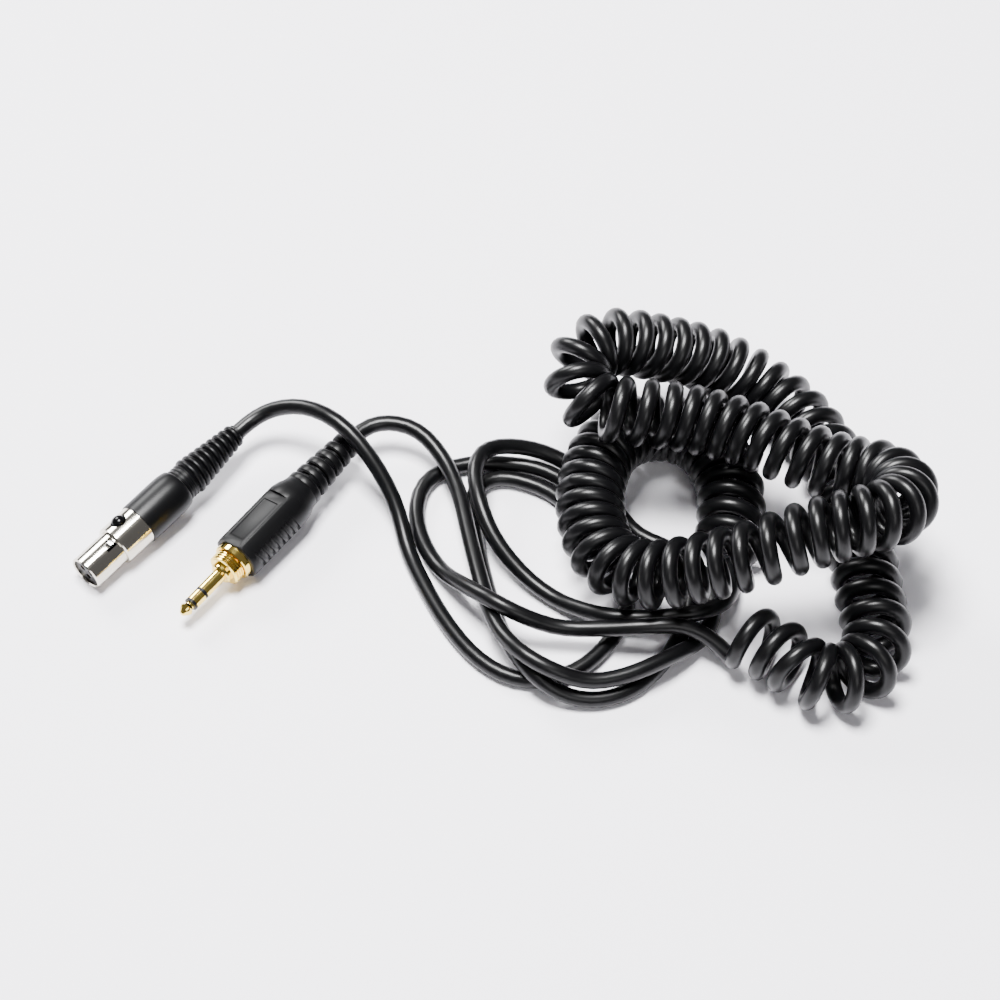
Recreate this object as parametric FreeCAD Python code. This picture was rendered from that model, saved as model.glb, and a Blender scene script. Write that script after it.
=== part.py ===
import FreeCAD, Part
import math
import os

# Coiled headphone cable: a three-contact mini-XLR socket on one end, a 3.5 mm stereo plug on the
# other, two straight leads and a curly cord heaped beside them. Millimetres, +Z up, floor at z = 0.

Vector = FreeCAD.Vector
os.makedirs("parts", exist_ok=True)

# ---------------------------------------------------------------- driving dimensions: cable
WIRE_R = 2.0                # jacket radius of the cable
COIL_R = 8.5                # outer radius of the curly cord
ARC_SHARE = 0.45            # share of a run that each neighbouring arc may use

# ---------------------------------------------------------------- driving dimensions: mini-XLR
# The connector's own frame: z = 0 at the nose face, +z towards the cable, +y at the button.
XLR_NOSE = Vector(-100.0, -11.6, 4.5)
XLR_HEADING = 48.7          # plan angle of its axis, nose to cable
XLR_TILT = 5.0              # it rests on the nose rim and the collar's edge
XLR_ROLL = 21.0             # button turned away from straight up
NOSE_R = 4.5
NOSE_L = 10.0
COLLAR_R = 5.3
COLLAR_END = 18.3
SPIGOT_R = 4.3
SPIGOT_END = 26.0
SHELL_BORE_R = 3.85
KEY_SLOT = (-44.0, 1.2, 1.2, 9.3)     # angle from the button, half width, front, back
WINDOW = (33.0, 1.35, 6.7, 9.6)       # the same for the window of the latch hook
SLEEVE_R = 5.55
SLEEVE_BORE_R = 4.35
SLEEVE_END = 32.4
BOOT_START = 29.0
BOOT_SPIGOT_R = 4.25
BOOT_END = 53.2
BOOT_R0 = 4.25
BOOT_R1 = 2.4
BOOT_RIBS = 9
RIB_H = 0.55
RIB_W = 1.05
FINE_RINGS = 3
FINE_PITCH = 1.05
FINE_H = 0.22

# latch: button, lever and hook turn together about a pin near the back of the insulator
BUTTON_Z = 14.2
BUTTON_R = 1.75
BUTTON_GAP = 0.28
BUTTON_TOP = 6.35
DOME_H = 0.95
LEVER_R = (3.25, 3.65)                # the lever is a strip of a tube
LEVER_SPREAD = 16.0                   # half its angle
LEVER_BEND_Z = 10.8
ARM_ANGLES = (0.0, 38.0)              # side arm that carries the hook
ARM_Z = (6.4, 12.2)
HOOK_Z = (7.5, 8.7)
HOOK_HALF = 0.6
HOOK_TOP = 4.75
PIVOT_Y = 2.6
PIVOT_Z = 23.6
EYE_R = 0.78
EYE_BORE_R = 0.44
PIN_R = 0.35
PIN_HALF = 2.3
CHANNEL_HALF = 1.25
CHANNEL_Y = 2.1
ARM_CHANNEL_Y = 1.28

# insulator and its three contacts
CONTACT_PITCH_R = 1.6
CONTACT_R = 0.72
CONTACT_BORE_R = 0.5
CONTACT_ANGLES = (288.0, 168.0, 48.0)
INSERT_FRONT = 0.7
INSERT_END = 20.5
CHEEK_Y = 1.4
CUP_END = 22.5

# ---------------------------------------------------------------- driving dimensions: 3.5 mm plug
# The plug's own frame: z = 0 at its tip, +z towards the cable, +y at the grip's flat panel.
JACK_TIP = Vector(-76.0, -23.8, 5.2)
JACK_HEADING = 52.0
JACK_TILT = 3.0
JACK_ROLL = 14.0
SHAFT_R = 1.75
TIP_END = 3.3
RING_START = 4.0
RING_END = 7.0
BARREL_START = 7.8
BAND_SINK = 0.02            # the insulating bands lie this far below the contacts
BARREL_END = 14.0
BOSS_R = 2.8
BOSS_END = 15.2
THREAD_R = 4.3
THREAD_END = 18.2
THREAD_PITCH = 0.75
THREAD_DEPTH = 0.4
FLANGE_R = 5.0
FLANGE_END = 20.0
COLLAR_TAIL_R = 3.9
COLLAR_TAIL_END = 24.0
GRIP_R = 6.2
GRIP_END = 44.6
GRIP_FLAT = 5.35            # height of the flat panel above the axis
PANEL_END = 38.0
RECESS_HALF = 2.2
RECESS_Z = (22.5, 35.5)
RECESS_DEPTH = 0.2
INNER_SHELL_R = 4.9
CAVITY_END = 40.0
TAG_T = 0.35
JACK_CABLE_START = 34.0
RELIEF_END = 63.7
RELIEF_R0 = 4.75
RELIEF_R1 = 3.5
RELIEF_SLOTS = 6
SLOT_W = 1.25               # grooves of the relief, and the webs that bridge them
WEB_HALF = 2.1
FIT_GAP = 0.04              # radial room between pieces pushed into each other

# ---------------------------------------------------------------- routes of the cable's centre line
XLR_LEAD = [
    (-65, 28.2, 9.1), (-61.5, 32.2, 9.6), (-55, 33.7, 12.5), (-47, 31.2, 15.8), (-38.5, 25.2, 16.6),
    (-30.5, 16.7, 12), (-25, 7.7, 6), (-22.6, -2.8, 2), (-18.3, -13.3, 2), (-13, -24.3, 2),
    (-6, -34.3, 2), (2, -40.1, 2), (10.5, -41, 2), (19, -37.8, 2), (26, -30.3, 2), (31, -20.6, 2),
    (30, -11.3, 2), (25.5, -2.6, 2), (20.3, 5.7, 2), (14, 14.5, 2), (5.5, 18.8, 2), (-1.2, 19.8, 2),
    (-6.2, 16.2, 2), (-7.2, 9.2, 2), (-6, 0.7, 2), (-4.2, -9.3, 2), (-1.8, -19.8, 2.2),
    (0.6, -28.8, 3.8), (4, -36.8, 6.4), (8.8, -43.2, 6.4), (15, -45.8, 3), (22.5, -46.6, 2),
    (30, -44.3, 2), (36, -39.3, 2), (41, -32.3, 2), (44.6, -24.3, 2), (46.6, -16.3, 2), (43.5, -9.6, 2),
    (36.5, -5.8, 2), (29.2, -0.7, 2), (24.1, 8.6, 2), (17.6, 17.3, 2), (10.5, 22.4, 2), (1.5, 24.2, 2),
    (-10, 24, 2), (-18.8, 19, 2), (-21, 9.2, 2), (-19, -0.3, 2), (-14.5, -9.3, 2.5), (-8.5, -17.8, 8.5),
    (-2, -24.6, 12.2), (5, -27.8, 10.2), (14, -28.8, 6.2), (24, -29.5, 7.2), (34, -30.4, 9.4),
    (42.5, -29.8, 9.6), (49.5, -31.8, 7.6), (55.3, -36.3, 3.9),
]
CURLY_AXIS = [
    (57.5, -32.3, 8.5), (66, -36.8, 8.5), (73.5, -44.8, 8.5), (84, -44.3, 8.5), (89.8, -34.8, 8.5),
    (88.3, -23.3, 8.5), (87, -9.8, 8.5), (85.5, 4.2, 8.5), (82.5, 18.2, 8.5), (76, 31.7, 8.5),
    (66, 41.7, 10), (53.5, 45, 16.8), (40, 43, 24.2), (24.5, 39.4, 32), (17.3, 30, 31), (22, 19, 30.4),
    (34, 18, 30), (46, 17.7, 28.2), (59, 13.7, 27.5), (71, 7.7, 27), (82, 3, 26.8), (91, 0.7, 28.2),
    (95.8, -6.8, 31.5), (93, -15.3, 35), (84, -19.3, 36.3), (73, -20.8, 33.7), (61, -23.3, 29.5),
    (48.5, -23.8, 24.5), (35.5, -22.8, 18.5), (25.5, -16.3, 15), (21.5, -3.3, 14), (22, 10.7, 13.6),
    (27, 23.7, 12), (38, 31.2, 8.9), (50.5, 27.2, 8.5), (56, 15.2, 8.5), (56.5, 4.2, 8.5),
    (55, -6.8, 8.5),
]
JACK_LEAD = [
    (-36.8, 26.3, 8.5), (-33.7, 30.3, 8.8), (-27, 31.5, 9.5), (-19.5, 28.7, 9.3), (-13.5, 21.2, 7.2),
    (-9.8, 11.2, 6.4), (-7.8, 0.2, 6.2), (-5.5, -10.8, 6), (-3, -21.8, 6.5), (-0.4, -31.3, 9.2),
    (4.6, -39, 11.3), (12, -43.4, 10.2), (20, -44.3, 6.6), (28, -43.1, 6.4), (36, -39.5, 6.6),
    (43.2, -34.4, 5.2), (48, -29.3, 2), (51.5, -22.3, 2), (51.3, -14.3, 2), (47.5, -6.8, 2),
    (41, -1.8, 2), (33, 2, 2), (27.6, 11.1, 2), (21, 20.5, 2), (13, 25.5, 4), (4, 25.8, 7.2),
    (-4, 22.7, 10), (-6.5, 15.2, 10.9), (-5.2, 5.7, 10.6), (-1.5, -3.3, 7.2), (5.8, -11.6, 3.4),
    (13.5, -17.6, 2), (20.5, -22.3, 4.2), (28, -25.6, 6.3), (37, -25.7, 6.3), (46, -24.8, 6.5),
    (53, -22.1, 6.3), (56.6, -14.8, 3), (55, -6.8, 2),
]


# ---------------------------------------------------------------- helpers
def placement(origin, heading, tilt, roll):
    """Turn a connector's own frame into the row's: z along the axis, y up, rolled about z."""
    h = math.radians(heading)
    t = math.radians(tilt)
    along = Vector(math.cos(t) * math.cos(h), math.cos(t) * math.sin(h), math.sin(t))
    level = Vector(-math.sin(h), math.cos(h), 0)
    up = along.cross(level)
    rotation = FreeCAD.Rotation(level, up, along, "ZXY")
    spin = FreeCAD.Rotation(Vector(0, 0, 1), -roll)
    return FreeCAD.Placement(origin, rotation.multiply(spin))


XLR_PLACE = placement(XLR_NOSE, XLR_HEADING, XLR_TILT, XLR_ROLL)
JACK_PLACE = placement(JACK_TIP, JACK_HEADING, JACK_TILT, JACK_ROLL)


def rod(radius, z0, z1, x=0.0, y=0.0):
    return Part.makeCylinder(radius, z1 - z0, Vector(x, y, z0), Vector(0, 0, 1))


def ring(outer, inner, z0, z1):
    return rod(outer, z0, z1).cut(rod(inner, z0 - 1.0, z1 + 1.0))


def slab(x0, x1, y0, y1, z0, z1):
    return Part.makeBox(x1 - x0, y1 - y0, z1 - z0, Vector(x0, y0, z0))


def turned(profile):
    """Solid of revolution about the axis from (radius, z) corners in order."""
    corners = [Vector(r, 0, z) for r, z in profile]
    face = Part.Face(Part.makePolygon(corners + corners[:1]))
    return face.revolve(Vector(0, 0, 0), Vector(0, 0, 1), 360)


def spun(shape, degrees):
    copy = shape.copy()
    copy.rotate(Vector(0, 0, 0), Vector(0, 0, 1), degrees)
    return copy


def joined(shapes):
    whole = shapes[0]
    for shape in shapes[1:]:
        whole = whole.fuse(shape)
    return whole.removeSplitter()


def save(name, shape, place=None):
    """Move a piece from its connector's frame to the row's and write its STEP file."""
    shape = shape.copy()
    if place is not None:
        shape.transformShape(place.toMatrix())
    print(name, "solids", len(shape.Solids), "valid", shape.isValid(), "mm3", round(shape.Volume, 1))
    shape.exportStep("parts/" + name + ".step")
    return shape


def tube(name, points, radius):
    """A round tube whose path is straight runs joined by tangent arcs."""
    corners = [Vector(*p) for p in points]
    edges = []
    start = corners[0]
    radii = []
    length = 0.0
    for before, corner, after in zip(corners, corners[1:], corners[2:]):
        to_corner = corner.sub(before)
        to_next = after.sub(corner)
        turn = to_corner.getAngle(to_next)
        reach = ARC_SHARE * min(to_corner.Length, to_next.Length)
        arc_r = reach / math.tan(turn / 2)
        back = Vector(to_corner).normalize()
        ahead = Vector(to_next).normalize()
        first = corner.sub(back * reach)
        last = corner.add(ahead * reach)
        inward = ahead.sub(back).normalize()
        middle = corner.add(inward * (arc_r / math.cos(turn / 2) - arc_r))
        edges.append(Part.LineSegment(start, first).toShape())
        edges.append(Part.Arc(first, middle, last).toShape())
        length += first.sub(start).Length + arc_r * turn
        radii.append(round(arc_r, 1))
        start = last
    edges.append(Part.LineSegment(start, corners[-1]).toShape())
    length += corners[-1].sub(start).Length
    path = Part.Wire(edges)
    direction = corners[1].sub(corners[0])
    circle = Part.Wire([Part.makeCircle(radius, corners[0], direction)])
    solid = path.makePipeShell([circle], True, False)
    expected = math.pi * radius ** 2 * length
    print(name, "radii", min(radii), "to", max(radii), sorted(radii)[:6])
    print(name, "length", round(length, 1), "volume over section x length", solid.Volume / expected)
    return save(name, solid)


# ---------------------------------------------------------------- mini-XLR socket
def ribbed_boot():
    """Tapered strain relief: a plug inside the sleeve, fine rings, then a cone with ring ribs."""
    corners = [(WIRE_R + FIT_GAP, BOOT_START), (BOOT_SPIGOT_R, BOOT_START)]
    corners += [(BOOT_SPIGOT_R, SLEEVE_END), (BOOT_R0, SLEEVE_END)]
    for k in range(FINE_RINGS):
        z = SLEEVE_END + 0.25 + k * FINE_PITCH
        crest = BOOT_R0 + FINE_H
        corners += [(BOOT_R0, z), (crest, z + 0.15), (crest, z + 0.55), (BOOT_R0, z + 0.7)]
    first = SLEEVE_END + 0.5 + FINE_RINGS * FINE_PITCH
    pitch = (BOOT_END - 0.3 - first) / BOOT_RIBS
    for k in range(BOOT_RIBS):
        z = first + k * pitch
        r = BOOT_R0 + (BOOT_R1 - BOOT_R0) * k / (BOOT_RIBS - 1)
        corners += [(r, z), (r + RIB_H, z + 0.15), (r + RIB_H, z + RIB_W), (r, z + 0.15 + RIB_W)]
    corners += [(BOOT_R1, BOOT_END), (WIRE_R + FIT_GAP, BOOT_END)]
    return turned(corners)


def wall_cut(angle, half, z0, z1):
    """Cutter for a rectangular opening through the nose's wall at an angle from the button."""
    return spun(slab(-half, half, 2.0, 7.0, z0, z1), angle)


def strip(angle0, angle1, z0, z1):
    """Strip of a tube between two angles, measured from the button's side."""
    band = ring(LEVER_R[1], LEVER_R[0], z0, z1)
    side = slab(-6, 0, -6, 6, z0 - 1, z1 + 1)
    return band.common(spun(side, angle0)).common(spun(side, angle1 - 180))


def across(radius, half):
    """Round bar along the pivot's axis."""
    return Part.makeCylinder(radius, 2 * half, Vector(-half, PIVOT_Y, PIVOT_Z), Vector(1, 0, 0))


def upright(radius, y0, y1):
    """Round bar along the button's axis."""
    return Part.makeCylinder(radius, y1 - y0, Vector(0, y0, BUTTON_Z), Vector(0, 1, 0))


def wedge(half, *corners):
    """Prism along x through (y, z) corners."""
    points = [Vector(-half, y, z) for y, z in corners]
    return Part.Face(Part.makePolygon(points + points[:1])).extrude(Vector(2 * half, 0, 0))


def contact_centres():
    rows = []
    for angle in CONTACT_ANGLES:
        a = math.radians(angle)
        rows.append((CONTACT_PITCH_R * math.cos(a), CONTACT_PITCH_R * math.sin(a)))
    return rows


def xlr_shell():
    shell = turned([
        (SHELL_BORE_R, 0.25), (NOSE_R - 0.35, 0), (NOSE_R, 0.3), (NOSE_R, NOSE_L),
        (COLLAR_R - 0.3, NOSE_L), (COLLAR_R, NOSE_L + 0.3), (COLLAR_R, COLLAR_END),
        (SPIGOT_R, COLLAR_END), (SPIGOT_R, SPIGOT_END), (SHELL_BORE_R, SPIGOT_END),
    ])
    return shell.cut(wall_cut(*KEY_SLOT)).cut(wall_cut(*WINDOW)).cut(upright(BUTTON_R + BUTTON_GAP, 2, 7))


def xlr_insert():
    """Moulded insulator; its channel is where the latch lever sinks, its cheeks hold the pin."""
    body_r = SHELL_BORE_R - FIT_GAP
    cheeks = rod(body_r, INSERT_END, SPIGOT_END - 0.6)
    cheeks = cheeks.cut(slab(-5, 5, -5, CHEEK_Y, INSERT_END, SPIGOT_END))
    insert = joined([rod(body_r, INSERT_FRONT, INSERT_END), cheeks])
    insert = insert.cut(slab(-CHANNEL_HALF, CHANNEL_HALF, CHANNEL_Y, 5, LEVER_BEND_Z - 0.3, PIVOT_Z - 1.4))
    insert = insert.cut(slab(-CHANNEL_HALF, CHANNEL_HALF, CHEEK_Y, 5, PIVOT_Z - 1.5, SPIGOT_END))
    insert = insert.cut(slab(-3.2, 0.3, ARM_CHANNEL_Y, 5, ARM_Z[0] - 0.4, ARM_Z[1] + 0.3))
    insert = insert.cut(upright(BUTTON_R + BUTTON_GAP, LEVER_R[0] - 0.2, 6))
    insert = insert.cut(across(PIN_R + FIT_GAP, 4))
    for x, y in contact_centres():
        insert = insert.cut(rod(CONTACT_R + FIT_GAP, -1, SPIGOT_END + 1, x, y))
    return insert


def xlr_contact(x, y):
    """Turned socket contact: a bore for the mating pin in front, a solder cup behind."""
    contact = rod(CONTACT_R, INSERT_FRONT + 0.2, CUP_END, x, y)
    contact = contact.cut(rod(CONTACT_BORE_R, -1, 8.0, x, y))
    return contact.cut(rod(CONTACT_R - 0.25, CUP_END - 1.0, SPIGOT_END, x, y))


def latch_lever():
    """Spring-steel strip bent to the shell's curve, with the hook on its side arm."""
    long_strip = strip(-LEVER_SPREAD, LEVER_SPREAD, LEVER_BEND_Z, PIVOT_Z + 0.7)
    arm = strip(*ARM_ANGLES, *ARM_Z)
    hook = spun(slab(-HOOK_HALF, HOOK_HALF, LEVER_R[0] + 0.1, HOOK_TOP, *HOOK_Z), WINDOW[0])
    front = HOOK_Z[0]
    bevel = wedge(HOOK_HALF + 0.1, (HOOK_TOP, front), (HOOK_TOP - 0.6, front), (HOOK_TOP, front + 0.6))
    hook = hook.cut(spun(bevel, WINDOW[0]))
    web = slab(-0.85, 0.85, PIVOT_Y, LEVER_R[0] + 0.15, PIVOT_Z - 0.6, PIVOT_Z + 0.6)
    lever = joined([long_strip, arm, hook, web, across(EYE_R, 0.85)])
    return lever.cut(across(EYE_BORE_R, 4)).cut(upright(0.5, 2, 5))


def latch_button():
    """Domed cap that shows in the collar, on a narrower foot and a stud through the lever."""
    sphere_r = (BUTTON_R ** 2 + DOME_H ** 2) / (2 * DOME_H)
    dome = Part.makeSphere(sphere_r, Vector(0, BUTTON_TOP - sphere_r, BUTTON_Z))
    cap = upright(BUTTON_R, LEVER_R[1] + 0.55, BUTTON_TOP).common(dome)
    foot = upright(0.9, LEVER_R[1], LEVER_R[1] + 0.7)
    return joined([cap, foot, upright(0.46, LEVER_R[0] - 0.1, LEVER_R[1] + 0.1)])


def xlr_conductors():
    wires = []
    for x, y in contact_centres():
        near = Vector(x, y, CUP_END - 0.9)
        far = Vector(0.55 * x, 0.55 * y, SPIGOT_END + 0.1)
        wires.append(Part.makeCylinder(0.3, far.sub(near).Length, near, far.sub(near)))
    return Part.makeCompound(wires)


def xlr_pieces():
    save("xlr_shell", xlr_shell(), XLR_PLACE)
    save("xlr_insert", xlr_insert(), XLR_PLACE)
    for number, centre in enumerate(contact_centres(), 1):
        save("xlr_contact_%d" % number, xlr_contact(*centre), XLR_PLACE)
    save("latch_lever", latch_lever(), XLR_PLACE)
    save("latch_button", latch_button(), XLR_PLACE)
    save("latch_pin", across(PIN_R, PIN_HALF), XLR_PLACE)
    save("xlr_sleeve", turned([
        (SLEEVE_BORE_R, COLLAR_END), (SLEEVE_R - 0.15, COLLAR_END), (SLEEVE_R, COLLAR_END + 0.25),
        (SLEEVE_R, SLEEVE_END - 4.0), (SLEEVE_R - 0.35, SLEEVE_END - 1.4), (SLEEVE_R - 1.0, SLEEVE_END),
        (SLEEVE_BORE_R, SLEEVE_END),
    ]), XLR_PLACE)
    save("xlr_boot", ribbed_boot(), XLR_PLACE)
    save("xlr_cable_clamp", ring(3.4, WIRE_R + FIT_GAP, SPIGOT_END + 0.6, BOOT_START - 0.2), XLR_PLACE)
    save("xlr_cable_end", rod(WIRE_R, SPIGOT_END + 0.2, BOOT_END), XLR_PLACE)
    save("xlr_conductors", xlr_conductors(), XLR_PLACE)


# ---------------------------------------------------------------- 3.5 mm stereo plug
def slotted_relief():
    """Tapered strain relief with ring grooves bridged by webs that alternate by a quarter turn."""
    cone = turned([
        (WIRE_R + FIT_GAP, GRIP_END), (RELIEF_R0, GRIP_END), (RELIEF_R1, RELIEF_END - 0.5),
        (RELIEF_R1 - 0.4, RELIEF_END), (WIRE_R + FIT_GAP, RELIEF_END),
    ])
    pitch = (RELIEF_END - GRIP_END - 1.2) / RELIEF_SLOTS
    for k in range(RELIEF_SLOTS):
        z = GRIP_END + 0.8 + k * pitch
        core = RELIEF_R0 + (RELIEF_R1 - RELIEF_R0) * k / RELIEF_SLOTS - 1.1
        groove = ring(7.0, core, z, z + SLOT_W)
        web = slab(-7.0, 7.0, -WEB_HALF, WEB_HALF, z - 1.0, z + 2.5)
        cone = cone.cut(groove.cut(spun(web, 90.0 * (k % 2))))
    return cone


def jack_pieces():
    tip = turned([
        (0, 0), (0.55, 0), (1.35, 1.0), (1.7, 1.75), (1.15, 2.75), (1.15, TIP_END), (0.5, TIP_END),
        (0.5, 30.0), (0, 30.0),
    ])
    save("jack_tip", tip, JACK_PLACE)
    inner = 0.5 + FIT_GAP
    band_r = SHAFT_R - BAND_SINK
    save("jack_tip_insulator", turned([
        (inner, TIP_END), (band_r, TIP_END), (band_r, RING_START), (0.8, RING_START), (0.8, 28.5),
        (inner, 28.5),
    ]), JACK_PLACE)
    inner = 0.8 + FIT_GAP
    save("jack_ring", turned([
        (inner, RING_START), (SHAFT_R, RING_START), (SHAFT_R, RING_END), (1.08, RING_END),
        (1.08, 27.0), (inner, 27.0),
    ]), JACK_PLACE)
    inner = 1.08 + FIT_GAP
    save("jack_ring_insulator", turned([
        (inner, RING_END), (band_r, RING_END), (band_r, BARREL_START), (1.24, BARREL_START),
        (1.24, 25.5), (inner, 25.5),
    ]), JACK_PLACE)
    inner = 1.24 + FIT_GAP
    save("jack_barrel", turned([
        (inner, BARREL_START), (SHAFT_R, BARREL_START), (SHAFT_R, BARREL_END),
        (BOSS_R - 0.3, BARREL_END), (BOSS_R, BARREL_END + 0.3), (BOSS_R, BOSS_END),
        (2.1, BOSS_END), (2.1, 25.0), (inner, 25.0),
    ]), JACK_PLACE)
    corners = [(2.1 + FIT_GAP, BOSS_END), (THREAD_R - 0.5, BOSS_END)]
    turns = int((THREAD_END - BOSS_END) / THREAD_PITCH)
    for k in range(turns):
        z = BOSS_END + k * THREAD_PITCH
        corners += [(THREAD_R - THREAD_DEPTH, z + 0.08), (THREAD_R, z + 0.3), (THREAD_R, z + 0.45),
                    (THREAD_R - THREAD_DEPTH, z + THREAD_PITCH - 0.08)]
    corners += [(THREAD_R - 0.45, THREAD_END), (FLANGE_R - 0.25, THREAD_END), (FLANGE_R, THREAD_END + 0.25),
                (FLANGE_R, FLANGE_END), (COLLAR_TAIL_R, FLANGE_END), (COLLAR_TAIL_R, COLLAR_TAIL_END),
                (2.1 + FIT_GAP, COLLAR_TAIL_END)]
    save("jack_threaded_collar", turned(corners), JACK_PLACE)

    # a solder tag on each conductor of the shaft, and the wires that run to the cable's end
    tag_rows = ((0.5, 28.7, 0.0), (1.08, 25.7, 120.0), (2.1, 24.45, 240.0))
    tags = []
    wires = []
    for radius, z, angle in tag_rows:
        washer = ring(radius + 0.95, radius + FIT_GAP, z, z + TAG_T)
        tab = slab(radius + 0.2, radius + 1.6, -0.5, 0.5, z, z + TAG_T)
        tags.append(spun(joined([washer, tab]), angle))
        near = Vector(radius + 1.2, 0, z + TAG_T + 0.12)
        far = Vector(1.1, 0, JACK_CABLE_START - 0.1)
        wire = Part.makeCylinder(0.35, far.sub(near).Length, near, far.sub(near))
        wires.append(spun(wire, angle))
    save("jack_solder_tags", Part.makeCompound(tags), JACK_PLACE)
    save("jack_conductors", Part.makeCompound(wires), JACK_PLACE)

    # hard inner shell, moulded grip over it with one flat panel
    save("jack_inner_shell", ring(INNER_SHELL_R, COLLAR_TAIL_R + FIT_GAP, FLANGE_END, CAVITY_END), JACK_PLACE)
    cavity_r = INNER_SHELL_R + FIT_GAP
    grip = turned([
        (cavity_r, FLANGE_END), (GRIP_R - 0.5, FLANGE_END), (GRIP_R, FLANGE_END + 0.6),
        (GRIP_R, PANEL_END - 0.5), (GRIP_R - 0.4, PANEL_END + 3.0), (RELIEF_R0, GRIP_END),
        (WIRE_R + FIT_GAP, GRIP_END), (WIRE_R + FIT_GAP, CAVITY_END), (cavity_r, CAVITY_END),
    ])
    grip = grip.cut(slab(-8, 8, GRIP_FLAT, 8, FLANGE_END - 1, PANEL_END))
    recess = slab(-RECESS_HALF, RECESS_HALF, GRIP_FLAT - RECESS_DEPTH, 8, *RECESS_Z)
    save("jack_grip", grip.cut(recess), JACK_PLACE)
    save("jack_relief", slotted_relief(), JACK_PLACE)
    save("jack_cable_clamp", ring(3.2, WIRE_R + FIT_GAP, 36.0, 38.4), JACK_PLACE)
    save("jack_cable_end", rod(WIRE_R, JACK_CABLE_START, RELIEF_END), JACK_PLACE)


xlr_pieces()
jack_pieces()
parts = [tube("xlr_lead", XLR_LEAD, WIRE_R), tube("curly_cord", CURLY_AXIS, COIL_R)]
parts.append(tube("jack_lead", JACK_LEAD, WIRE_R))
box = Part.makeCompound(parts).BoundBox
print("cord box", [round(v, 2) for v in (box.XMin, box.XMax, box.YMin, box.YMax, box.ZMin, box.ZMax)])
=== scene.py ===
import math
import bpy
from mathutils import Matrix, Vector


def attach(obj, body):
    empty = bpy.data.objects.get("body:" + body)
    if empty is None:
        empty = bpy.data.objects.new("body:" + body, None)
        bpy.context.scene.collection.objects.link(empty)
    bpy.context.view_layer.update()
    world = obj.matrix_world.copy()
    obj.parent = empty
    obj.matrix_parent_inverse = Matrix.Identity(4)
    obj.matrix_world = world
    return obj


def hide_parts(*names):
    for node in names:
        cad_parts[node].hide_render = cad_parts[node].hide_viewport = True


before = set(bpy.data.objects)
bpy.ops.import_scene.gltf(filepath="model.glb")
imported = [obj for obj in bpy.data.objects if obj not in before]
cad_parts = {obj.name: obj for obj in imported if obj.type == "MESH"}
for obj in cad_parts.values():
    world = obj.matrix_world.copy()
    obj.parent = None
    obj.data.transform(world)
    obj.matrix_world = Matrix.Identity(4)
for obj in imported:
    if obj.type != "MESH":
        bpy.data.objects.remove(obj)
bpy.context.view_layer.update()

# Headphone cable lying in loose loops: mini-XLR socket and 3.5 mm plug on the left, the curly
# section heaped on the right. Metres, +Z up, the table at z = 0.

# ------------------------------------------------------------------ sizes
WIRE_D = 0.004
TURN_R = 0.0065                 # centre line of the cable round the curly section's axis
POINTS_PER_TURN = 14
MM = 0.001

# the connectors' own millimetres, measured along each axis from its front end
XLR_NOSE = (-0.100, -0.0116, 0.0045)
XLR_TURN = (48.7, 5.0, 21.0)    # heading, tilt and roll in degrees
COLLAR_END = 18.3
SLEEVE_END = 32.4
BOOT_END = 53.2
SLEEVE_BORE = 4.35
SLEEVE_R = 5.55
SLEEVE_REAR_R = 4.55
SLEEVE_SHOULDER = 4.5           # length of the rounded step at the sleeve's rear
SPIGOT_START = 29.0
BOOT_R0 = 4.25
BOOT_R1 = 2.4
BOOT_RINGS = 3
RING_PITCH = 1.05
BOOT_RIBS = 9
RIB_H = 0.75
WIRE_BORE = 2.04
JACK_TIP = (-0.076, -0.0238, 0.0052)
JACK_TURN = (52.0, 3.0, 14.0)
GRIP_START = 20.0
GRIP_R = 6.2
GRIP_BORE = 4.94
GRIP_BORE_END = 40.0
GRIP_FLAT = 5.35
GROOVES = 8
GROOVE_START = 22.6
GROOVE_PITCH = 1.85
GROOVE_FLOOR_R = 5.62
FIELD_SIZE = (4.6, 1.0, 13.0)
FIELD_MIDDLE = 29.0
GRIP_END = 44.6
PANEL_END = 38.0
RELIEF_END = 63.7
RELIEF_R0 = 4.75
RELIEF_R1 = 3.5
RELIEF_SLOTS = 6
BEAD_PITCH = (RELIEF_END - GRIP_END) / RELIEF_SLOTS
WEB_HALF = 1.5                  # half the width of the webs between the relief's windows

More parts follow.
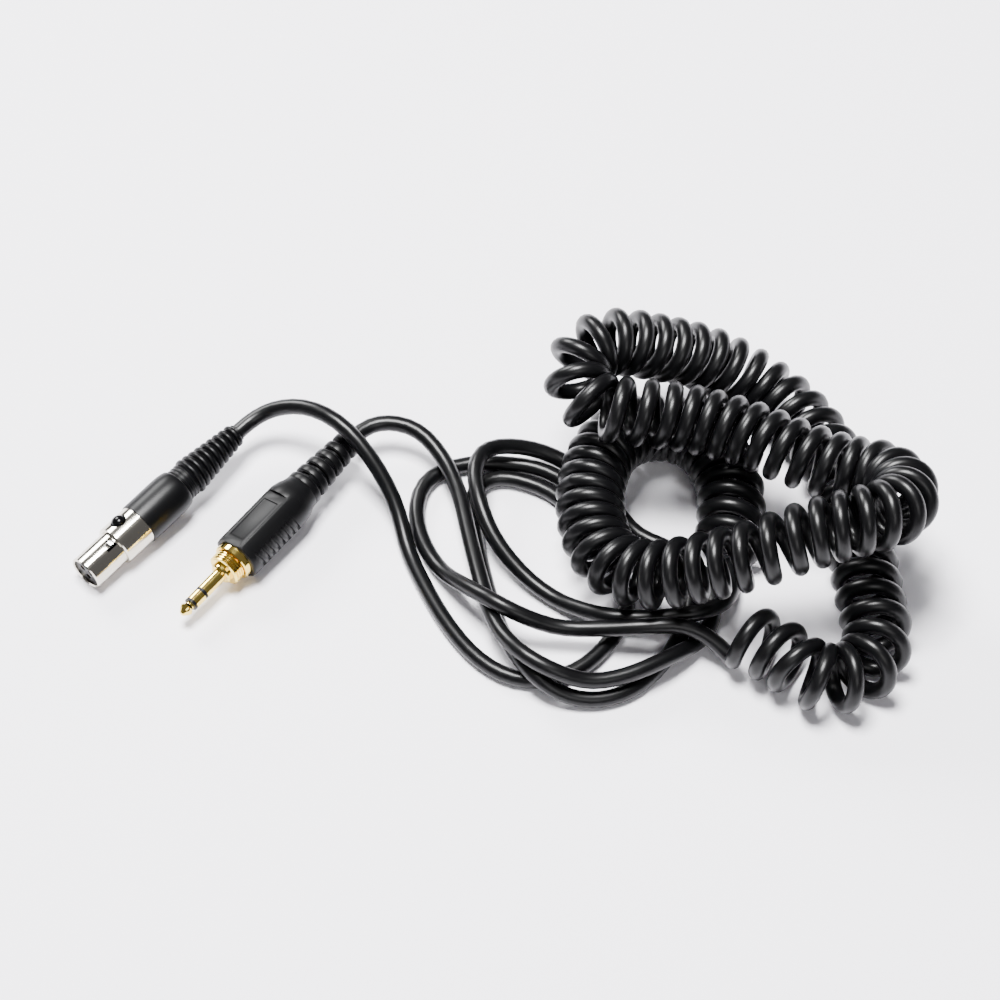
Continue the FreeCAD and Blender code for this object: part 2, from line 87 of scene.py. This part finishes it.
# ------------------------------------------------------------------ the cable's route
XLR_LEAD = [
    (-0.065, 0.0282, 0.0091), (-0.0615, 0.0322, 0.0096), (-0.055, 0.0337, 0.0125),
    (-0.047, 0.0312, 0.0158), (-0.0385, 0.0252, 0.0166), (-0.0305, 0.0167, 0.012),
    (-0.025, 0.0077, 0.006), (-0.0226, -0.0028, 0.002), (-0.0183, -0.0133, 0.002),
    (-0.013, -0.0243, 0.002), (-0.006, -0.0343, 0.002), (0.002, -0.0401, 0.002), (0.0105, -0.041, 0.002),
    (0.019, -0.0378, 0.002), (0.026, -0.0303, 0.002), (0.031, -0.0206, 0.002), (0.03, -0.0113, 0.002),
    (0.0255, -0.0026, 0.002), (0.0203, 0.0057, 0.002), (0.014, 0.0145, 0.002), (0.0055, 0.0188, 0.002),
    (-0.0012, 0.0198, 0.002), (-0.0062, 0.0162, 0.002), (-0.0072, 0.0092, 0.002), (-0.006, 0.0007, 0.002),
    (-0.0042, -0.0093, 0.002), (-0.0018, -0.0198, 0.0022), (0.0006, -0.0288, 0.0038),
    (0.004, -0.0368, 0.0064), (0.0088, -0.0432, 0.0064), (0.015, -0.0458, 0.003),
    (0.0225, -0.0466, 0.002), (0.03, -0.0443, 0.002), (0.036, -0.0393, 0.002), (0.041, -0.0323, 0.002),
    (0.0446, -0.0243, 0.002), (0.0466, -0.0163, 0.002), (0.0435, -0.0096, 0.002),
    (0.0365, -0.0058, 0.002), (0.0292, -0.0007, 0.002), (0.0241, 0.0086, 0.002), (0.0176, 0.0173, 0.002),
    (0.0105, 0.0224, 0.002), (0.0015, 0.0242, 0.002), (-0.01, 0.024, 0.002), (-0.0188, 0.019, 0.002),
    (-0.021, 0.0092, 0.002), (-0.019, -0.0003, 0.002), (-0.0145, -0.0093, 0.0025),
    (-0.0085, -0.0178, 0.0085), (-0.002, -0.0246, 0.0122), (0.005, -0.0278, 0.0102),
    (0.014, -0.0288, 0.0062), (0.024, -0.0295, 0.0072), (0.034, -0.0304, 0.0094),
    (0.0425, -0.0298, 0.0096), (0.0495, -0.0318, 0.0076), (0.0553, -0.0363, 0.0039),
]
CURLY_AXIS = [
    (0.0575, -0.0323, 0.0085), (0.066, -0.0368, 0.0085), (0.0735, -0.0448, 0.0085),
    (0.084, -0.0443, 0.0085), (0.0898, -0.0348, 0.0085), (0.0883, -0.0233, 0.0085),
    (0.087, -0.0098, 0.0085), (0.0855, 0.0042, 0.0085), (0.0825, 0.0182, 0.0085), (0.076, 0.0317, 0.0085),
    (0.066, 0.0417, 0.01), (0.0535, 0.045, 0.0168), (0.04, 0.043, 0.0242), (0.0245, 0.0394, 0.032),
    (0.0173, 0.03, 0.031), (0.022, 0.019, 0.0304), (0.034, 0.018, 0.03), (0.046, 0.0177, 0.0282),
    (0.059, 0.0137, 0.0275), (0.071, 0.0077, 0.027), (0.082, 0.003, 0.0268), (0.091, 0.0007, 0.0282),
    (0.0958, -0.0068, 0.0315), (0.093, -0.0153, 0.035), (0.084, -0.0193, 0.0363),
    (0.073, -0.0208, 0.0337), (0.061, -0.0233, 0.0295), (0.0485, -0.0238, 0.0245),
    (0.0355, -0.0228, 0.0185), (0.0255, -0.0163, 0.015), (0.0215, -0.0033, 0.014),
    (0.022, 0.0107, 0.0136), (0.027, 0.0237, 0.012), (0.038, 0.0312, 0.0089), (0.0505, 0.0272, 0.0085),
    (0.056, 0.0152, 0.0085), (0.0565, 0.0042, 0.0085), (0.055, -0.0068, 0.0085),
]
JACK_LEAD = [
    (-0.0368, 0.0263, 0.0085), (-0.0337, 0.0303, 0.0088), (-0.027, 0.0315, 0.0095),
    (-0.0195, 0.0287, 0.0093), (-0.0135, 0.0212, 0.0072), (-0.0098, 0.0112, 0.0064),
    (-0.0078, 0.0002, 0.0062), (-0.0055, -0.0108, 0.006), (-0.003, -0.0218, 0.0065),
    (-0.0004, -0.0313, 0.0092), (0.0046, -0.039, 0.0113), (0.012, -0.0434, 0.0102),
    (0.02, -0.0443, 0.0066), (0.028, -0.0431, 0.0064), (0.036, -0.0395, 0.0066),
    (0.0432, -0.0344, 0.0052), (0.048, -0.0293, 0.002), (0.0515, -0.0223, 0.002),
    (0.0513, -0.0143, 0.002), (0.0475, -0.0068, 0.002), (0.041, -0.0018, 0.002), (0.033, 0.002, 0.002),
    (0.0276, 0.0111, 0.002), (0.021, 0.0205, 0.002), (0.013, 0.0255, 0.004), (0.004, 0.0258, 0.0072),
    (-0.004, 0.0227, 0.01), (-0.0065, 0.0152, 0.0109), (-0.0052, 0.0057, 0.0106),
    (-0.0015, -0.0033, 0.0072), (0.0058, -0.0116, 0.0034), (0.0135, -0.0176, 0.002),
    (0.0205, -0.0223, 0.0042), (0.028, -0.0256, 0.0063), (0.037, -0.0257, 0.0063),
    (0.046, -0.0248, 0.0065), (0.053, -0.0221, 0.0063), (0.0566, -0.0148, 0.003), (0.055, -0.0068, 0.002),
]


# ------------------------------------------------------------------ camera
def place_camera():
    """Looks down on the table from the front, at the angle of a product shot."""
    bpy.ops.object.camera_add(location=(0.0, -0.4673, 0.6389))
    camera = bpy.context.object
    aim = Vector((0.0, 0.0142, 0.0)) - camera.location
    camera.rotation_euler = aim.to_track_quat("-Z", "Y").to_euler()
    camera.data.lens = 116.6
    camera.data.sensor_width = 36.0
    camera.data.clip_end = 20.0
    bpy.context.scene.camera = camera


# ------------------------------------------------------------------ materials
def linear(hex_colour):
    """sRGB hex to a linear colour with alpha."""
    channels = []
    for i in (0, 2, 4):
        c = int(hex_colour[i:i + 2], 16) / 255.0
        channels.append(c / 12.92 if c <= 0.04045 else ((c + 0.055) / 1.055) ** 2.4)
    return (*channels, 1.0)


def add_node(tree, kind, settings=None, links=None):
    """A shader node with its settings, and with inputs set to a value or joined to an output."""
    node = tree.nodes.new(kind)
    for key, value in (settings or {}).items():
        setattr(node, key, value)
    for key, value in (links or {}).items():
        socket = node.inputs[key]
        if isinstance(value, bpy.types.NodeSocket):
            tree.links.new(value, socket)
        else:
            socket.default_value = value
    return node


def new_material(name):
    material = bpy.data.materials.new(name)
    material.use_nodes = True
    tree = material.node_tree
    shader = tree.nodes["Principled BSDF"]
    return material, tree, shader


def add_noise(tree, place, scale, detail):
    """Noise over the piece's own coordinates."""
    return add_node(tree, "ShaderNodeTexNoise", {},
                    {"Vector": place.outputs["Object"], "Scale": scale, "Detail": detail})


def vary_roughness(tree, shader, source, low, high):
    """Drives the roughness between two values from a 0 to 1 output."""
    rough = add_node(tree, "ShaderNodeMapRange", {}, {"Value": source, "To Min": low, "To Max": high})
    tree.links.new(rough.outputs["Result"], shader.inputs["Roughness"])


def add_bump(tree, shader, source, distance, strength):
    """Fine relief of a depth in metres from a 0 to 1 output."""
    bump = add_node(tree, "ShaderNodeBump", {},
                    {"Height": source, "Distance": distance, "Strength": strength})
    tree.links.new(bump.outputs["Normal"], shader.inputs["Normal"])


def make_pvc_jacket():
    """PVC jacket, extruded hot and cooled in water: an even satin gloss with faint waviness."""
    material, tree, shader = new_material("PVC jacket")
    shader.inputs["Base Color"].default_value = linear("050506")
    shader.inputs["Specular IOR Level"].default_value = 0.24
    place = add_node(tree, "ShaderNodeTexCoord")
    waves = add_noise(tree, place, 260.0, 3.0)
    vary_roughness(tree, shader, waves.outputs["Fac"], 0.27, 0.37)
    add_bump(tree, shader, waves.outputs["Fac"], 0.00006, 0.5)
    return material


# ------------------------------------------------------------------ cord
def nurbs(name, points):
    """Open quadratic spline through its end points, with points as its control points."""
    data = bpy.data.curves.new(name, "CURVE")
    data.dimensions = "3D"
    spline = data.splines.new("NURBS")
    spline.points.add(len(points) - 1)
    for knot, point in zip(spline.points, points):
        knot.co = (*point, 1.0)
    spline.order_u = 3
    spline.use_endpoint_u = True
    spline.resolution_u = 3
    obj = bpy.data.objects.new(name, data)
    bpy.context.scene.collection.objects.link(obj)
    return obj


def read_line(points, step_resolution):
    """Points along the smooth spline that has these control points."""
    guide = nurbs("guide", points)
    guide.data.splines[0].resolution_u = step_resolution
    mesh = bpy.data.meshes.new_from_object(guide)
    line = [v.co.copy() for v in mesh.vertices]
    bpy.data.meshes.remove(mesh)
    curve = guide.data
    bpy.data.objects.remove(guide)
    bpy.data.curves.remove(curve)
    return line


# pitch of the curly section along its axis: (distance along the axis, metres per turn)
PITCHES = (
    (0.0, 0.0068), (0.03, 0.0062), (0.06, 0.0058), (0.09, 0.0060), (0.12, 0.0056), (0.15, 0.0053),
    (0.165, 0.0058), (0.18, 0.0066), (0.198, 0.0064), (0.207, 0.0055), (0.215, 0.0048), (0.232, 0.0050),
    (0.245, 0.0058), (0.262, 0.0048), (0.275, 0.0046), (0.30, 0.0052), (0.315, 0.0068), (0.325, 0.0054),
    (0.352, 0.0056), (0.364, 0.0048), (0.378, 0.0041), (0.405, 0.0041), (0.415, 0.0046), (0.47, 0.0060))


def pitch_at(distance):
    """Metres per turn at a distance along the curly section's axis."""
    for (a, p), (b, q) in zip(PITCHES, PITCHES[1:]):
        if distance <= b:
            return p + (q - p) * max(0.0, distance - a) / (b - a)
    return PITCHES[-1][1]


def curly_points(axis, first, last):
    """Left-handed helix round the axis, from a point beside its start to one beside its end."""
    line = read_line(axis, 24)
    travel = [0.0]
    for a, b in zip(line, line[1:]):
        travel.append(travel[-1] + (b - a).length)
    # frames carried along the axis without twist
    tangents = [(b - a).normalized() for a, b in zip(line, line[1:])]
    tangents.append(tangents[-1])
    side = first - line[0]
    side = (side - tangents[0] * side.dot(tangents[0])).normalized()
    sides = [side]
    for before, after in zip(tangents, tangents[1:]):
        side = before.rotation_difference(after) @ side
        side = (side - after * side.dot(after)).normalized()
        sides.append(side)
    turns = [0.0]
    for k in range(1, len(line)):
        middle = 0.5 * (travel[k] + travel[k - 1])
        turns.append(turns[-1] + (travel[k] - travel[k - 1]) / pitch_at(middle))
    out = last - line[-1]
    across = tangents[-1].cross(sides[-1])
    end_angle = math.atan2(out.dot(across), out.dot(sides[-1]))
    whole = round(turns[-1] + end_angle / math.tau)
    total = whole - end_angle / math.tau
    stretch = total / turns[-1]
    count = round(total * POINTS_PER_TURN)
    bulge = TURN_R / (0.75 + 0.25 * math.cos(math.tau / POINTS_PER_TURN))
    points = []
    k = 0
    for step in range(1, count):
        turn = total * step / count
        while turns[k + 1] * stretch < turn:
            k += 1
        share = (turn / stretch - turns[k]) / (turns[k + 1] - turns[k])
        centre = line[k].lerp(line[k + 1], share)
        tangent = tangents[k].lerp(tangents[k + 1], share).normalized()
        side = sides[k].lerp(sides[k + 1], share).normalized()
        across = tangent.cross(side)
        angle = -math.tau * turn
        points.append(centre + (side * math.cos(angle) + across * math.sin(angle)) * bulge)
    return points


def lay_cable():
    """The whole cable as one spline: lead, curly section, lead."""
    first = Vector(XLR_LEAD[-1])
    last = Vector(JACK_LEAD[-1])
    curl = curly_points(CURLY_AXIS, first, last)
    points = [Vector(p) for p in XLR_LEAD] + curl + [Vector(p) for p in reversed(JACK_LEAD)]
    cable = nurbs("cable", points)
    cable.data.bevel_depth = WIRE_D / 2
    cable.data.bevel_resolution = 5
    cable.data.use_fill_caps = True
    return cable


# ------------------------------------------------------------------ table and light
def soft_box(name, place, size, power):
    """Square area lamp, in metres and watts, aimed at the middle of the table."""
    bpy.ops.object.light_add(type="AREA", location=place)
    lamp = bpy.context.object
    lamp.name = name
    lamp.data.size = size
    lamp.data.energy = power
    lamp.rotation_euler = (-lamp.location).to_track_quat("-Z", "Y").to_euler()


def floor_and_light():
    """Pale table under an overhead soft box, one from the back left and a faint one in front."""
    bpy.ops.mesh.primitive_plane_add(size=6.0)
    floor = bpy.context.object
    floor.name = "table"
    material, _, shader = new_material("painted table")
    shader.inputs["Base Color"].default_value = linear("f6f4fa")
    shader.inputs["Roughness"].default_value = 0.7
    floor.data.materials.append(material)
    soft_box("overhead", (-0.15, 0.10, 1.2), 0.42, 62.0)
    soft_box("back left", (-1.0, 1.3, 1.1), 0.7, 58.0)
    soft_box("front", (0.3, -1.4, 1.3), 0.9, 10.0)
    world = bpy.data.worlds.new("studio")
    bpy.context.scene.world = world
    world.use_nodes = True
    background = world.node_tree.nodes["Background"]
    background.inputs["Color"].default_value = (0.96, 0.95, 1.0, 1.0)
    background.inputs["Strength"].default_value = 0.16


# ------------------------------------------------------------------ materials of the connectors
def grained(name, colour, low, high, grain_mm, depth_mm):
    """Moulded plastic or rubber: an even colour under a fine tooled grain that breaks the gloss."""
    material, tree, shader = new_material(name)
    shader.inputs["Base Color"].default_value = linear(colour)
    shader.inputs["Specular IOR Level"].default_value = 0.15
    place = add_node(tree, "ShaderNodeTexCoord")
    grain = add_noise(tree, place, 1000.0 / grain_mm, 4.0)
    handled = add_noise(tree, place, 160.0, 2.0)
    both = add_node(tree, "ShaderNodeMix", {"data_type": "FLOAT"},
                    {"Factor": 0.5, "A": grain.outputs["Fac"], "B": handled.outputs["Fac"]})
    vary_roughness(tree, shader, both.outputs["Result"], low, high)
    add_bump(tree, shader, grain.outputs["Fac"], depth_mm / 1000.0, 0.6)
    return material


def plated(name, colour, shade, low, high):
    """Electroplated metal: a mirror finish, with faint lengthwise haze from polishing."""
    material, tree, shader = new_material(name)
    shader.inputs["Metallic"].default_value = 1.0
    place = add_node(tree, "ShaderNodeTexCoord")
    haze = add_noise(tree, place, 420.0, 3.0)
    tone = add_node(tree, "ShaderNodeMix", {"data_type": "RGBA"}, {"Factor": haze.outputs["Fac"]})
    tone.inputs[6].default_value = linear(colour)
    tone.inputs[7].default_value = linear(shade)
    tree.links.new(tone.outputs[2], shader.inputs["Base Color"])
    vary_roughness(tree, shader, haze.outputs["Fac"], low, high)
    return material


def make_nickel():
    """Bright nickel over turned brass: a warm mirror with a soft haze."""
    return plated("bright nickel plating", "d6d2c8", "c9c3b4", 0.07, 0.17)


def make_gold():
    """Hard gold flash over polished brass: a deep yellow mirror."""
    return plated("hard gold plating", "f7dc7c", "efcd62", 0.07, 0.16)


def make_spring_steel():
    """Rolled spring steel: grey, with a dull shine."""
    return plated("spring steel", "b9b8b4", "a3a29e", 0.22, 0.35)


def make_brass():
    """Stamped brass left bare inside the housings."""
    return plated("stamped brass", "c9a65a", "b28f47", 0.25, 0.4)


def make_sleeve_abs():
    """Moulded ABS with a fine spark-eroded grain: satin black."""
    return grained("satin ABS", "060607", 0.3, 0.42, 0.35, 0.012)


def make_grip_abs():
    """Moulded ABS with a coarser grain on the grip: a dry, soft sheen."""
    return grained("grained ABS", "060607", 0.34, 0.5, 0.45, 0.02)


def make_boot_tpe():
    """Injected thermoplastic rubber: nearly matt, a little greasy where it bends."""
    return grained("boot TPE", "050506", 0.3, 0.44, 0.5, 0.012)


def make_button_nylon():
    """Polished nylon button: glossy, nearly smooth."""
    return grained("polished nylon", "060607", 0.12, 0.2, 1.2, 0.002)


def make_insulator():
    """Moulded insulator between contacts: plain black with a low gloss."""
    return grained("insulator PBT", "0b0b0c", 0.3, 0.42, 0.6, 0.004)


def make_wire_insulation():
    """Extruded insulation of the inner conductors."""
    return grained("wire insulation", "8c2f26", 0.35, 0.5, 0.8, 0.004)


def dress(material, *names):
    """Puts a material on frame nodes."""
    for name in names:
        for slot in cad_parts[name].material_slots:
            slot.material = material


# ------------------------------------------------------------------ connector pieces
def connector_place(front, turn_degrees):
    """Matrix from a connector's own millimetres to the frame: +z to its cable, +y to its top."""
    heading, tilt, roll = [math.radians(angle) for angle in turn_degrees]
    axis = Vector((math.cos(heading) * math.cos(tilt), math.sin(heading) * math.cos(tilt), math.sin(tilt)))
    level = Vector((0.0, 0.0, 1.0)).cross(axis).normalized()
    upright = axis.cross(level)
    side = level * math.cos(roll) - upright * math.sin(roll)
    top = upright * math.cos(roll) + level * math.sin(roll)
    turn = Matrix((side, top, axis)).transposed().to_4x4()
    return Matrix.Translation(front) @ turn @ Matrix.Scale(MM, 4)


def start_ring(name, radius, z, count):
    """A ring of edges, open in edit mode with all of it selected."""
    bpy.ops.object.select_all(action="DESELECT")
    bpy.ops.mesh.primitive_circle_add(vertices=count, radius=radius, location=(0.0, 0.0, 0.0))
    obj = bpy.context.object
    obj.name = name
    bpy.ops.object.mode_set(mode="EDIT")
    bpy.ops.mesh.select_all(action="SELECT")
    bpy.ops.transform.translate(value=(0.0, 0.0, z))
    return obj


def pull(profile):
    """Extrudes the selected ring along an outline of (radius, z), then closes it on itself."""
    for (r0, z0), (r1, z1) in zip(profile, profile[1:]):
        bpy.ops.mesh.extrude_region_move(TRANSFORM_OT_translate={"value": (0.0, 0.0, z1 - z0)})
        bpy.ops.transform.resize(value=(r1 / r0, r1 / r0, 1.0), center_override=(0.0, 0.0, z1))
    bpy.ops.mesh.select_all(action="SELECT")
    bpy.ops.mesh.remove_doubles(threshold=0.0005)
    bpy.ops.mesh.normals_make_consistent(inside=False)
    bpy.ops.object.mode_set(mode="OBJECT")


def lathe(name, outline, count=72):
    """Turned piece from a closed outline of (radius, z)."""
    obj = start_ring(name, outline[0][0], outline[0][1], count)
    pull(outline + outline[:1])
    return obj


def select_only(obj):
    bpy.ops.object.select_all(action="DESELECT")
    bpy.context.view_layer.objects.active = obj
    obj.select_set(True)


def combine(obj, tool, operation="DIFFERENCE"):
    """Boolean cut, or the common part, applied, and the tool removed."""
    modifier = obj.modifiers.new("combine", "BOOLEAN")
    modifier.operation = operation
    modifier.solver = "EXACT"
    modifier.object = tool
    select_only(obj)
    bpy.ops.object.modifier_apply(modifier=modifier.name)
    mesh = tool.data
    bpy.data.objects.remove(tool)
    bpy.data.meshes.remove(mesh)


def bar(name, size, place, round_off=0.0):
    """Block of a size in mm about a place, with rounded edges if asked: a tool for cuts."""
    bpy.ops.object.select_all(action="DESELECT")
    bpy.ops.mesh.primitive_cube_add(size=1.0)
    obj = bpy.context.object
    obj.name = name
    bpy.ops.object.mode_set(mode="EDIT")
    bpy.ops.mesh.select_all(action="SELECT")
    bpy.ops.transform.resize(value=size)
    if round_off:
        bpy.ops.mesh.bevel(offset=round_off, offset_type="OFFSET", segments=3, affect="EDGES")
    bpy.ops.object.mode_set(mode="OBJECT")
    obj.data.transform(Matrix.Translation(place))
    return obj


def shade_smooth(obj, angle):
    """Smooth shading, with edges sharper than an angle in degrees kept crisp."""
    select_only(obj)
    bpy.ops.object.shade_smooth_by_angle(angle=math.radians(angle))


def soften(obj, width):
    """Rounds the edges a mould leaves, then shades the piece smooth."""
    modifier = obj.modifiers.new("round edges", "BEVEL")
    modifier.width = width
    modifier.segments = 2
    modifier.limit_method = "ANGLE"
    modifier.angle_limit = math.radians(35.0)
    modifier.use_clamp_overlap = True
    select_only(obj)
    bpy.ops.object.modifier_apply(modifier=modifier.name)
    shade_smooth(obj, 40.0)


def fit(obj, place, material, node):
    """Sets a finished piece in its place, with its material and the node it stands for."""
    obj.data.transform(place)
    obj.data.materials.clear()
    obj.data.materials.append(material)
    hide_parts(node)
    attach(obj, "cable")
    return obj


def boot_outline():
    """Strain relief in section: spigot inside the sleeve, three fine rings, nine rounded ribs."""
    outline = [(WIRE_BORE, SPIGOT_START), (BOOT_R0, SPIGOT_START), (BOOT_R0, SLEEVE_END)]
    z = SLEEVE_END + 0.3
    for _ in range(BOOT_RINGS):
        for lift, step in ((0.0, 0.0), (0.2, 0.12), (0.26, 0.3), (0.2, 0.5), (0.0, 0.62)):
            outline.append((BOOT_R0 + lift, z + step))
        z += RING_PITCH
    pitch = (BOOT_END - 0.35 - z) / BOOT_RIBS
    for k in range(BOOT_RIBS):
        base = BOOT_R0 + (BOOT_R1 - BOOT_R0) * k / (BOOT_RIBS - 1) - 0.12
        middle = z + (k + 0.42) * pitch
        for step in range(7):
            angle = math.pi * step / 6.0
            lift = RIB_H * math.sin(angle) ** 0.6
            outline.append((base + lift, middle - 0.38 * pitch * math.cos(angle)))
    outline += [(BOOT_R1 - 0.1, BOOT_END), (WIRE_BORE, BOOT_END)]
    return outline


def make_boot():
    obj = lathe("boot", boot_outline())
    shade_smooth(obj, 50.0)
    return obj


def make_sleeve():
    """Satin sleeve with a small front chamfer and a rounded step at the rear."""
    shoulder = SLEEVE_END - SLEEVE_SHOULDER
    outline = [(SLEEVE_BORE, COLLAR_END), (SLEEVE_R - 0.25, COLLAR_END),
               (SLEEVE_R - 0.05, COLLAR_END + 0.1), (SLEEVE_R, COLLAR_END + 0.35), (SLEEVE_R, shoulder)]
    for step in range(1, 8):
        angle = math.radians(90.0 * step / 7.0)
        radius = SLEEVE_REAR_R + (SLEEVE_R - SLEEVE_REAR_R) * math.cos(angle) ** 0.8
        outline.append((radius, shoulder + SLEEVE_SHOULDER * math.sin(angle)))
    outline.append((SLEEVE_BORE, SLEEVE_END))
    obj = lathe("sleeve", outline)
    shade_smooth(obj, 40.0)
    return obj


def make_grip():
    """Moulded grip: round body, long flat panel with a sunk field, and slanted ribs on both sides."""
    outline = [(GRIP_BORE, GRIP_START), (GRIP_R - 0.6, GRIP_START), (GRIP_R - 0.15, GRIP_START + 0.2),
               (GRIP_R, GRIP_START + 0.7), (GRIP_R, PANEL_END - 0.5), (GRIP_R - 0.15, PANEL_END + 1.5),
               (GRIP_R - 0.5, PANEL_END + 3.4), (RELIEF_R0 + 0.2, GRIP_END - 1.2), (RELIEF_R0, GRIP_END),
               (WIRE_BORE, GRIP_END), (WIRE_BORE, GRIP_BORE_END), (GRIP_BORE, GRIP_BORE_END)]
    obj = lathe("grip", outline, 96)
    length = PANEL_END - GRIP_START + 2.0
    middle = GRIP_START + length / 2.0 - 2.0
    combine(obj, bar("flat", (16.0, 4.0, length), (0.0, GRIP_FLAT + 2.0, middle)))
    # two narrower facets beside the panel
    for side in (-1.0, 1.0):
        facet = bar("facet", (8.0, 4.0, length + 2.5), (0.0, GRIP_R - 0.28 + 2.0, middle + 0.6))
        facet.data.transform(Matrix.Rotation(math.radians(52.0) * side, 4, "Z"))
        combine(obj, facet)
    field = bar("field", FIELD_SIZE, (0.0, GRIP_FLAT - 0.2 + 0.5, FIELD_MIDDLE), round_off=0.3)
    combine(obj, field)
    # slanted grooves between the finger ribs round each side
    for side in (-1.0, 1.0):
        for k in range(GROOVES):
            groove = lathe("groove", [(GROOVE_FLOOR_R, -0.38), (7.5, -0.62), (7.5, 0.62),
                                      (GROOVE_FLOOR_R, 0.38)], 96)
            sector = bar("sector", (7.0, 7.6, 3.0), (side * 7.6, -1.3, 0.0), round_off=0.6)
            combine(groove, sector, "INTERSECT")
            groove.data.transform(Matrix.Rotation(math.radians(-18.0), 4, "X"))
            groove.data.transform(Matrix.Translation((0.0, 0.0, GROOVE_START + GROOVE_PITCH * k)))
            combine(obj, groove)
    soften(obj, 0.12)
    return obj


def bead_radius(k):
    return RELIEF_R0 + (RELIEF_R1 - RELIEF_R0) * k / (RELIEF_SLOTS - 1)


def relief_outline():
    """Strain relief in section: a tapering row of rounded beads over the cable's bore."""
    outline = [(WIRE_BORE, GRIP_END)]
    for k in range(RELIEF_SLOTS):
        z = GRIP_END + k * BEAD_PITCH
        r = bead_radius(k)
        outline += [(r - 0.32, z), (r - 0.08, z + 0.16), (r, z + 0.45), (r, z + 0.5 * BEAD_PITCH),
                    (r - 0.1, z + 0.5 * BEAD_PITCH + 0.3), (r - 0.4, z + 0.5 * BEAD_PITCH + 0.5)]
    return outline + [(RELIEF_R1 - 0.5, RELIEF_END), (WIRE_BORE, RELIEF_END)]


def make_relief():
    """Beads with deep windows between them, the windows alternating by a quarter turn."""
    obj = lathe("relief", relief_outline(), 64)
    for k in range(RELIEF_SLOTS):
        z = GRIP_END + (k + 0.79) * BEAD_PITCH
        r = bead_radius(k)
        core = max(r - 1.4, WIRE_BORE + 0.3)
        for side in (-1.0, 1.0):
            window = lathe("window", [(core, -0.52), (7.0, -0.66), (7.0, 0.66), (core, 0.52)], 64)
            reach = WEB_HALF * r / RELIEF_R0
            sector = bar("sector", (10.0, 16.0, 3.0), (side * (reach + 5.0), 0.0, 0.0), round_off=0.25)
            combine(window, sector, "INTERSECT")
            window.data.transform(Matrix.Rotation(math.radians(90.0 * (k % 2) + 45.0), 4, "Z"))
            window.data.transform(Matrix.Translation((0.0, 0.0, z)))
            combine(obj, window)
    shade_smooth(obj, 38.0)
    return obj


def build_connectors():
    """The four finer pieces, each in place of its CAD node. Gives back the plug's two."""
    xlr = connector_place(XLR_NOSE, XLR_TURN)
    jack = connector_place(JACK_TIP, JACK_TURN)
    fit(make_boot(), xlr, boot_tpe, "xlr_boot")
    fit(make_sleeve(), xlr, sleeve_abs, "xlr_sleeve")
    grip = fit(make_grip(), jack, grip_abs, "jack_grip")
    relief = fit(make_relief(), jack, boot_tpe, "jack_relief")
    return grip, relief


place_camera()
bpy.ops.object.select_all(action="DESELECT")
floor_and_light()
jacket = make_pvc_jacket()
boot_tpe = make_boot_tpe()
sleeve_abs = make_sleeve_abs()
grip_abs = make_grip_abs()
cable = lay_cable()
cable.data.materials.append(jacket)
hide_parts("xlr_lead", "curly_cord", "jack_lead")
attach(cable, "cable")
dress(make_nickel(), "xlr_shell")
dress(make_insulator(), "xlr_insert", "jack_tip_insulator", "jack_ring_insulator")
dress(make_gold(), "xlr_contact_1", "xlr_contact_2", "xlr_contact_3",
      "jack_tip", "jack_ring", "jack_barrel", "jack_threaded_collar")
dress(make_spring_steel(), "latch_lever", "latch_pin")
dress(make_button_nylon(), "latch_button")
dress(make_brass(), "xlr_cable_clamp", "jack_solder_tags", "jack_inner_shell", "jack_cable_clamp")
dress(make_wire_insulation(), "xlr_conductors", "jack_conductors")
dress(jacket, "xlr_cable_end", "jack_cable_end")
grip, relief = build_connectors()
